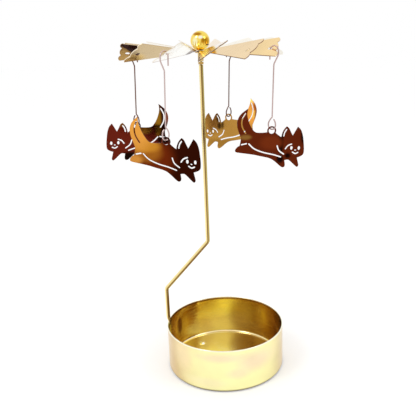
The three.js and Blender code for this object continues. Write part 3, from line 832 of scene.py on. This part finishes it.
def vane_tint(along, across, lift, vane):
    """Each vane's painted reflection tone on the side that faces front, painted reflections and shade on
    some of them, and painted light and dark on the cut edges.
    """
    on_edge = np.abs(lift) < SHEET / 2 - EDGE / 2
    front = np.where(np.isin(vane, FRONT_TOPS), lift > 0, lift < 0)
    trailing_reflection = smoothstep(-across / vane_half(along, VANE_TIP_TRAIL, VANE_RADIUS), *TRAILING_REFLECTION_SPREAD)
    past = across - VANE_TIP_LEAD - WEDGE_SLOPE * (along - VANE_RADIUS)
    wedge = smoothstep(past, *WEDGE_SPREAD) * smoothstep(along, *WEDGE_ALONG_SPREAD)
    root = (1 - smoothstep(along, *ROOT_SPREAD)) * (vane == ROOT_VANE) * front
    at_tip = along > VANE_RADIUS - VANE_TIP_RAKE - NOTCH_DEPTH
    all_pale = on_edge & ~np.isin(vane, list(TIP_EDGE_TINTS))
    return shade(plain(along, VANE_TINT), [
        (front | on_edge, PALE_TINT),
        *[((vane == n) & (along > HUB_RADIUS) & front, rgb) for n, rgb in VANE_TINTS.items()],
        (trailing_reflection * (vane == TRAILING_REFLECTION_VANE) * front, TRAILING_REFLECTION_TINT),
        (wedge * (vane == WEDGE_VANE), WEDGE_TINT),
        (blot(along, across, *CORNER_PATCH) * (vane == CORNER_VANE), CORNER_TINT),
        (root, ROOT_TINT),
        (root * smoothstep(across, *ROOT_LEAD_SPREAD), ROOT_LEAD_TINT),
        (on_edge & (across > 0), LEADING_EDGE_TINT),
        (on_edge & (across < 0), TRAILING_EDGE_TINT),
        *[(on_edge & at_tip & (vane == n), rgb) for n, rgb in TIP_EDGE_TINTS.items()],
        (all_pale, PALE_EDGE_TINT),
        (on_edge & (along < HUB_RADIUS + SHEET), HUB_EDGE_TINT),
    ])


# Hangers and charms

def hanger_frame(i):
    """Where hanger i hangs, leaning as it does in the photograph, and which way its hook points."""
    vane = VANE_TURN + 2 * math.pi * HANGER_VANES[i] / VANE_COUNT
    x, y = HOLE_AT, HOLE_OFFSET * math.cos(VANE_PITCH)
    c, s = math.cos(vane), math.sin(vane)
    hook = vane - HOOK_TURN
    place = Vector((
        AXIS_X + x * c - y * s + HOOK_SPAN / 2 * math.cos(hook),
        x * s + y * c + HOOK_SPAN / 2 * math.sin(hook),
        ROTOR_PLANE + (HOLE_OFFSET + NOTCH_OFFSET) / 2 * math.sin(VANE_PITCH),
    ))
    return Matrix.Translation(place) @ Matrix.Rotation(HANG_LEAN, 4, "Y"), hook


def wire_shape():
    """A hanger bent from one wire: a hook for the vane's hole and tip, a shank and an open loop."""
    half = HOOK_SPAN / 2
    centre = HOOK_RISE - half
    kink_top, kink_end = (half, -HOOK_DROP), (0.0, -HOOK_DROP - HOOK_KINK)
    shank_end = (0.0, kink_end[1] - SHANK_LENGTH)
    loop_centre = shank_end[1] - LOOP_LENGTH + LOOP_RADIUS
    end_x = 2 * WIRE_RADIUS + LOOP_END_GAP
    side = (loop_centre + shank_end[1]) / 2
    line = [(-half, -NUB_DROP)]
    line += arc((0, centre), half, math.pi, 0, HOOK_STEPS)
    line += round_corner((half, centre), kink_top, kink_end, half, KINK_STEPS)
    line += round_corner(kink_top, kink_end, shank_end, half, KINK_STEPS)
    down = quadratic(shank_end, (-LOOP_RADIUS, side), (-LOOP_RADIUS, loop_centre), LOOP_STEPS)
    line += [tuple(p) for p in down]
    line += arc((0, loop_centre), LOOP_RADIUS, math.pi, 2 * math.pi, HOOK_STEPS)[1:]
    end = (end_x, shank_end[1] - end_x)
    back = quadratic((LOOP_RADIUS, loop_centre), (LOOP_RADIUS, side), end, LOOP_STEPS)
    line += [tuple(p) for p in back[1:]]
    return rod(rounded_ends(line, WIRE_RADIUS), WIRE_FACETS)


def rounded_ends(line, radius):
    """Stations of a round wire along a line, with the cut ends softened."""
    line = np.array(line, float)
    stations = [(x, z, *round_section(radius)) for x, z in line]
    for end, step in ((0, 1), (-1, -1)):
        on = line[end + step] - line[end]
        on = on / np.linalg.norm(on)
        soft = [(line[end] + on * radius * (1 - math.cos(a)), radius * math.sin(a)) for a in WIRE_END_ANGLES]
        soft.append((line[end] + on * radius, radius))
        cap = [(*place, *round_section(r)) for place, r in soft]
        stations = cap + stations[1:] if step == 1 else stations[:-1] + cap[::-1]
    return stations


def spline(points, steps):
    """Places and directions along a smooth line through points."""
    points = np.array(points, float)
    last = len(points) - 1
    places, directions = [], []
    for n in range(steps * last + 1):
        at = n / steps
        i = min(int(at), last - 1)
        t = at - i
        p0, p1, p2, p3 = (points[min(max(i + k, 0), last)] for k in (-1, 0, 1, 2))
        v0, v1 = (p2 - p0) / 2, (p3 - p1) / 2
        a, b = 2 * p1 - 2 * p2 + v0 + v1, -3 * p1 + 3 * p2 - 2 * v0 - v1
        places.append(a * t ** 3 + b * t ** 2 + v0 * t + p1)
        slope = 3 * a * t ** 2 + 2 * b * t + v0
        directions.append(slope / np.linalg.norm(slope))
    return np.array(places), np.array(directions)


def along_charm(pairs):
    return np.asarray(pairs, float) * (CHARM_LENGTH, CHARM_DEPTH)


def slot_loop(pairs):
    """The edge of a round-ended slot along a smooth line."""
    places, directions = spline(along_charm(pairs), SLOT_STEPS)
    sides = np.column_stack([-directions[:, 1], directions[:, 0]]) * SLOT_WIDTH / 2
    ends = []
    for place, on, side in ((places[0], -directions[0], -sides[0]), (places[-1], directions[-1], sides[-1])):
        angles = np.linspace(0, math.pi, SLOT_STEPS)[1:-1]
        ends.append([place + side * math.cos(a) + on * SLOT_WIDTH / 2 * math.sin(a) for a in angles])
    return np.concatenate([places + sides, ends[1], (places - sides)[::-1], ends[0]])


def charm_shape():
    """A stamped fox below its ring, its tail bent out of the XZ plane, and which points are cut edges."""
    back_start = along_charm([OUTLINE_SHARES[0][0]])[0]
    back_end = along_charm([OUTLINE_SHARES[-1][-1]])[0]
    first, last = math.atan2(back_end[1], back_end[0]), math.atan2(back_start[1], back_start[0])
    if first < 0:
        first += 2 * math.pi
    outline = arc((0, 0), RING_RADIUS, first, last, RING_STEPS)
    for stretch in OUTLINE_SHARES:
        outline += [tuple(p) for p in spline(along_charm(stretch), OUTLINE_STEPS)[0][1:]]
    outline.pop()
    holes = [arc((0, 0), RING_HOLE, 0, 2 * math.pi, RING_HOLE_STEPS)[:-1]]
    holes += [slot_loop(s) for s in SLOT_SHARES]
    for centre, size in OVAL_SHARES:
        (x, y), (rx, ry) = along_charm([centre])[0], along_charm([size])[0]
        holes.append([(x + rx * math.cos(a), y + ry * math.sin(a))
                      for a in np.linspace(0, 2 * math.pi, OVAL_STEPS + 1)[:-1]])
    points, faces = sheet_plate(outline, holes, CHARM_SHEET, CHARM_SPACING)
    on_edge = np.abs(points[:, 2]) < CHARM_SHEET / 2 - EDGE / 2
    up = (points[:, 1] / CHARM_DEPTH - TAIL_ROOT_SHARE) / (TAIL_TIP_SHARE - TAIL_ROOT_SHARE)
    behind = points[:, 0] < TAIL_FRONT_SHARE * CHARM_LENGTH
    points[:, 2] += np.where(behind & (up > 0), TAIL_BEND * up ** 2, 0)
    return (np.column_stack([points[:, 0], -points[:, 2], points[:, 1]]), faces), on_edge


# Tints: what each point of a piece is coloured, as linear light, painted reflections, highlights and shade
# included

def colour(rgb):
    """An sRGB colour of 0 to 255 as linear light."""
    shares = np.array(rgb) / 255
    return np.where(shares <= 0.04045, shares / 12.92, ((shares + 0.055) / 1.055) ** 2.4)


def shade(tints, layers):
    """Lays colours over tints in turn, each by a weight of 0 to 1 for each point."""
    for weight, rgb in layers:
        weight = np.broadcast_to(np.clip(weight, 0, 1), len(tints))
        tints = tints + weight[:, None] * (colour(rgb) - tints)
    return tints


def plain(points, rgb):
    return np.tile(colour(rgb), (len(points), 1))


def blot(x, y, centre, reach, soft=0.4):
    """1 inside an oval and 0 outside it, with a soft rim."""
    away = np.hypot((x - centre[0]) / reach[0], (y - centre[1]) / reach[1])
    return 1 - smoothstep(away, 1 - soft, 1 + soft)


def cup_tint(points):
    """Painted reflections, highlights and shade: pale outside and brightest in front, dark at the base, deep
    gold inside with a pale ring round the floor, highlights on the floor, its pips and the lip, and shade
    below the rim.
    """
    x, y, z = np.asarray(points, float).T
    radius, below = np.hypot(x, y), CUP_HEIGHT - z
    front = (x * math.sin(CUP_REFLECTION_TURN) - y * math.cos(CUP_REFLECTION_TURN)) / np.maximum(radius, CUP_MIDDLE)
    lining = np.where(z > LINING_FOOT, smoothstep(-radius, *LINING_SPREAD), 0)
    back = lining * smoothstep(y, *BACK_SPREAD)
    low = (1 - smoothstep(z, *LOW_SPREAD)) * smoothstep(x, *LOW_LEFT_SPREAD)
    floor_edge = CUP_RADIUS - CUP_INNER_FILLET * 2
    floor = lining * (z < CUP_FLOOR + PIP_HEIGHT) * (radius < floor_edge)
    fillet = back * (z < CUP_FLOOR + CUP_INNER_FILLET) * (radius > floor_edge)
    rim_shade = lining * (below < RIM_SHADE_REACH) * smoothstep(below, *RIM_SHADE_SPREAD)
    return shade(plain(points, CUP_SIDE_TINT), [
        (smoothstep(front, *CUP_FRONT_SPREAD), CUP_FRONT_TINT),
        *[(blot(x, z, centre, reach, CUP_PATCH_SOFT) * (y < 0) * CUP_PATCH_WEIGHT, rgb)
          for centre, reach, rgb in CUP_PATCHES],
        (1 - smoothstep(z, *CUP_BASE_SPREAD), CUP_BASE_TINT),
        (lining, LINING_TINT),
        (back, BACK_TINT),
        (back * low, LOW_TINT),
        (back * smoothstep(x, *RIGHT_SPREAD) * RIGHT_WEIGHT, RIGHT_TINT),
        *[(back * blot(x, z, centre, reach) * weight, rgb) for centre, reach, rgb, weight in LINING_PATCHES],
        (back * smoothstep(-x, *LEFT_SPREAD) * LEFT_WEIGHT, LEFT_TINT),
        (back * blot(x, z, *FOOT_IMAGE), FOOT_IMAGE_TINT),
        (back * smoothstep(x, *FAR_RIGHT_SPREAD) * FAR_RIGHT_WEIGHT, FAR_RIGHT_TINT),
        (floor, CUP_FLOOR_TINT),
        (floor * smoothstep(-x, *CUP_FLOOR_LEFT_SPREAD), CUP_FLOOR_LEFT_TINT),
        (floor * smoothstep(x, *CUP_FLOOR_RIGHT_SPREAD), CUP_FLOOR_RIGHT_TINT),
        *[(floor * blot(x, y, centre, PIP_TINT_REACH), PIP_TINT) for centre in pip_centres()],
        (fillet, FILLET_TINT),
        (rim_shade, RIM_SHADE_TINT),
        (1 - smoothstep(below, *LIP_SPREAD), LIP_TINT),
    ])


def post_tint(points):
    """Painted reflections: bright on its left, with a dark line down its front right and olive beyond, and a
    painted highlight on its foot.
    """
    angles = 2 * math.pi * (np.arange(len(points)) % POST_FACETS + 0.5) / POST_FACETS
    right = np.cos(angles)
    front = np.sin(angles) < 0
    line = 1 - smoothstep(np.abs(right - POST_LINE_AT), *POST_LINE_SPREAD)
    return shade(plain(points, POST_TINT), [
        (front * smoothstep(-right, *POST_LEFT_SPREAD), POST_LEFT_TINT),
        (front * smoothstep(right, *POST_RIGHT_SPREAD), POST_RIGHT_TINT),
        (front * line, POST_LINE_TINT),
        (points[:, 2] < FOOT_TOP, FOOT_TINT),
    ])


def ball_tint(points):
    """Polished gold, with pale and brown patches on the side that faces front: painted highlights and
    painted reflections.
    """
    right, back, up = ((np.asarray(points) - (AXIS_X, 0, BALL_CENTRE)) / BALL_RADIUS).T
    front = smoothstep(-back, *BALL_FRONT_SPREAD)
    layers = [(front * blot(right, up, centre, reach), rgb) for centre, reach, rgb in BALL_PATCHES]
    return shade(plain(points, BALL_TINT), layers)


def charm_tint(points, base, patches, on_edge):
    """A charm's painted reflection tone with soft painted reflection patches, placed in shares as its
    outline is, and dark cut edges.
    """
    x, y = points[:, 0] / CHARM_LENGTH, points[:, 2] / CHARM_DEPTH
    layers = [(blot(x, y, centre, reach), rgb) for centre, reach, rgb in patches]
    layers.append((on_edge * CHARM_EDGE_WEIGHT, CHARM_EDGE_TINT))
    return shade(plain(points, base), layers)


# Materials

def node(tree, kind, **values):
    made = tree.nodes.new(kind)
    for key, value in values.items():
        if key in made.inputs:
            made.inputs[key].default_value = value
        else:
            setattr(made, key, value)
    return made


def map_range(tree, before, after, **settings):
    made = node(tree, "ShaderNodeMapRange", **settings)
    made.inputs["From Min"].default_value, made.inputs["From Max"].default_value = before
    made.inputs["To Min"].default_value, made.inputs["To Max"].default_value = after
    return made


def metal(name, rough, drift=0.12, patch=60.0, grain=400.0, run=(1, 1, 1)):
    """Polished plated metal: its tint drifts, its gloss varies, and faint marks follow its working."""
    material = bpy.data.materials.new(name)
    material.use_nodes = True
    tree = material.node_tree
    shader = tree.nodes["Principled BSDF"]
    shader.inputs["Metallic"].default_value = 1.0
    place = node(tree, "ShaderNodeTexCoord")
    running = node(tree, "ShaderNodeMapping", Scale=run)
    tint = node(tree, "ShaderNodeAttribute", attribute_name="tint")
    cloud = node(tree, "ShaderNodeTexNoise", Scale=patch, Detail=NOISE_DETAIL, Roughness=NOISE_ROUGHNESS)
    level = map_range(tree, NOISE_SPREAD, (1.0 - drift, 1.0))
    drifted = node(tree, "ShaderNodeVectorMath", operation="SCALE")
    fine = node(tree, "ShaderNodeTexNoise", Scale=grain, Detail=NOISE_DETAIL, Roughness=NOISE_ROUGHNESS)
    gloss = map_range(tree, NOISE_SPREAD, rough)
    relief = node(tree, "ShaderNodeBump", Strength=RELIEF_STRENGTH, Distance=RELIEF_DISTANCE)
    link = tree.links.new
    link(place.outputs["Object"], cloud.inputs["Vector"])
    link(place.outputs["Object"], running.inputs["Vector"])
    link(running.outputs["Vector"], fine.inputs["Vector"])
    link(cloud.outputs["Fac"], level.inputs["Value"])
    link(tint.outputs["Color"], drifted.inputs["Vector"])
    link(level.outputs["Result"], drifted.inputs["Scale"])
    link(drifted.outputs["Vector"], shader.inputs["Base Color"])
    link(fine.outputs["Fac"], gloss.inputs["Value"])
    link(gloss.outputs["Result"], shader.inputs["Roughness"])
    link(fine.outputs["Fac"], relief.inputs["Height"])
    link(relief.outputs["Normal"], shader.inputs["Normal"])
    return material


def make_materials():
    return {
        "cup": metal("cup_metal", (0.1, 0.26), drift=0.1, patch=80.0, grain=160.0, run=(1, 1, 7)),
        "post": metal("post_metal", (0.1, 0.2), run=(4, 4, 0.3)),
        "ball": metal("ball_metal", (0.04, 0.1)),
        "vane": metal("vane_metal", (0.1, 0.2)),
        "wire": metal("hanger_metal", (0.25, 0.4)),
        # Two copies of one charm metal; the charms' dark and bright tones are painted reflections in their
        # tints
        "brown": metal("charm_brown", (0.1, 0.2)),
        "gold": metal("charm_gold", (0.12, 0.22)),
    }


# Stage

def seen_directly(tree, kinds=("Is Camera Ray", "Is Glossy Ray", "Is Transmission Ray")):
    """1 where the camera sees something itself or in metal or glass, and 0 where it only gives light."""
    path = node(tree, "ShaderNodeLightPath")
    seen = path.outputs[kinds[0]]
    for kind in kinds[1:]:
        either = node(tree, "ShaderNodeMath", operation="MAXIMUM")
        tree.links.new(seen, either.inputs[0])
        tree.links.new(path.outputs[kind], either.inputs[1])
        seen = either.outputs[0]
    return seen


def add_floor():
    """Matt and pale, lifted to white for the eye by as much as its shade takes off in the open."""
    mesh = bpy.data.meshes.new("floor")
    reach = FLOOR_REACH * MM
    mesh.from_pydata([(-reach, -reach, 0), (reach, -reach, 0), (reach, reach, 0), (-reach, reach, 0)],
                     [], [(0, 1, 2, 3)])
    material = bpy.data.materials.new("floor")
    material.use_nodes = True
    tree = material.node_tree
    tree.nodes.remove(tree.nodes["Principled BSDF"])
    matt = node(tree, "ShaderNodeBsdfDiffuse", Color=(FLOOR_COLOUR, FLOOR_COLOUR, FLOOR_COLOUR, 1.0))
    glow = node(tree, "ShaderNodeEmission", Color=(1, 1, 1, 1))
    lift = node(tree, "ShaderNodeMath", operation="MULTIPLY")
    lift.inputs[1].default_value = FLOOR_LIFT
    both = node(tree, "ShaderNodeAddShader")
    link = tree.links.new
    link(seen_directly(tree), lift.inputs[0])
    link(lift.outputs[0], glow.inputs["Strength"])
    link(matt.outputs[0], both.inputs[0])
    link(glow.outputs[0], both.inputs[1])
    link(both.outputs[0], tree.nodes["Material Output"].inputs["Surface"])
    mesh.materials.append(material)
    floor = bpy.data.objects.new("floor", mesh)
    bpy.context.scene.collection.objects.link(floor)


def add_world():
    """White to the eye and in metal, with a soft dim side towards the front as in a room, and even light."""
    world = bpy.data.worlds.new("studio")
    bpy.context.scene.world = world
    world.use_nodes = True
    tree = world.node_tree
    back = tree.nodes["Background"]
    back.inputs["Color"].default_value = (1, 1, 1, 1)
    level = node(tree, "ShaderNodeMapRange")
    level.inputs["To Min"].default_value = WORLD_LIGHT
    place = node(tree, "ShaderNodeTexCoord")
    facing = node(tree, "ShaderNodeVectorMath", operation="DOT_PRODUCT")
    facing.inputs[1].default_value = Vector(DIM_SIDE).normalized()
    dim = map_range(tree, DIM_SPREAD, (1.0, DIM_LIGHT), interpolation_type="SMOOTHSTEP")
    glossy = node(tree, "ShaderNodeLightPath")
    shown = node(tree, "ShaderNodeMix", data_type="FLOAT")
    shown.inputs[2].default_value = 1.0
    link = tree.links.new
    link(place.outputs["Generated"], facing.inputs[0])
    link(facing.outputs["Value"], dim.inputs["Value"])
    link(glossy.outputs["Is Glossy Ray"], shown.inputs[0])
    link(dim.outputs["Result"], shown.inputs[3])
    link(seen_directly(tree), level.inputs["Value"])
    link(shown.outputs[0], level.inputs["To Max"])
    link(level.outputs["Result"], back.inputs["Strength"])


def add_lamp(name, place, power):
    lamp = bpy.data.lights.new(name, "AREA")
    lamp.shape, lamp.size, lamp.energy = "DISK", LAMP_SIZE * MM, power
    made = bpy.data.objects.new(name, lamp)
    made.location = Vector(place) * MM
    made.rotation_euler = (Vector(place) - Vector(LAMP_TARGET)).to_track_quat("Z", "Y").to_euler()
    bpy.context.scene.collection.objects.link(made)


def add_camera():
    """The photograph's own view, found from the places of 60 points of the object in it."""
    yaw, pitch, roll = CAMERA_YAW, CAMERA_PITCH, CAMERA_ROLL
    ahead = Vector((math.sin(yaw) * math.cos(pitch), math.cos(yaw) * math.cos(pitch), -math.sin(pitch)))
    right = Vector((math.cos(yaw), -math.sin(yaw), 0))
    up = right.cross(ahead)
    side = right * math.cos(roll) + up * math.sin(roll)
    top = up * math.cos(roll) - right * math.sin(roll)
    camera = bpy.data.cameras.new("camera")
    camera.sensor_fit, camera.sensor_width, camera.lens = "HORIZONTAL", CAMERA_SENSOR, CAMERA_LENS
    camera.clip_start, camera.clip_end = CAMERA_CLIP
    made = bpy.data.objects.new("camera", camera)
    place = Vector(CAMERA_PLACE) * MM
    made.matrix_world = Matrix((
        (side.x, top.x, -ahead.x, place.x),
        (side.y, top.y, -ahead.y, place.y),
        (side.z, top.z, -ahead.z, place.z),
        (0, 0, 0, 1),
    ))
    bpy.context.scene.collection.objects.link(made)
    bpy.context.scene.camera = made


def add_object(materials):
    cup, post, collar, bush, ball = cup_shape(), post_shape(), collar_shape(), bush_shape(), ball_shape()
    rotor, rotor_tints = rotor_shape()
    add_piece("cup", cup, cup_tint(cup[0]), materials["cup"], "base", "candle_cup",
              crease=ROUND_CREASE)
    add_piece("post_rod", post, post_tint(np.array(post[0])), materials["post"], "base", "post",
              crease=ROUND_CREASE)
    add_piece("collar", collar, plain(collar[0], COLLAR_TINT), materials["post"], "base", "post_collar")
    add_piece("bush", bush, plain(bush[0], COLLAR_TINT), materials["post"], "spinner", "hub_bush")
    add_piece("ball", ball, ball_tint(ball[0]), materials["ball"], "spinner", "ball_knob")
    add_piece("vane_wheel", rotor, rotor_tints, materials["vane"], "spinner", "rotor")
    wire = wire_shape()
    charm, charm_edge = charm_shape()
    loop_bottom = HOOK_DROP + HOOK_KINK + SHANK_LENGTH + LOOP_LENGTH
    charm_drop = Matrix.Translation((0, 0, -loop_bottom + WIRE_RADIUS + RING_GAP - RING_HOLE))
    for i in range(len(HANGER_VANES)):
        frame_at, hook = hanger_frame(i)
        add_piece(f"wire_{i + 1}", wire, plain(wire[0], WIRE_TINTS[i]), materials["wire"],
                  f"hanger_{i + 1}", f"hanger_wire_{i + 1}",
                  frame_at @ Matrix.Rotation(hook, 4, "Z"), crease=WIRE_CREASE)
        # Gold or brown names the charm's painted reflection tone; all charms are one metal
        painted_reflection_tone = "gold" if i == BRIGHT_REFLECTION_CHARM else "brown"
        tints = charm_tint(charm[0], *CHARM_TINTS[i], charm_edge)
        add_piece(f"charm_{i + 1}", charm, tints, materials[painted_reflection_tone], f"charm_{i + 1}",
                  f"fox_charm_{i + 1}",
                  frame_at @ charm_drop @ Matrix.Rotation(CHARM_ANGLES[i], 4, "Z"))


def main():
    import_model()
    scene = bpy.context.scene
    scene.view_settings.view_transform = "Standard"
    add_camera()
    add_object(make_materials())
    add_floor()
    add_world()
    for name, lamp in LAMPS.items():
        add_lamp(name, **lamp)


main()
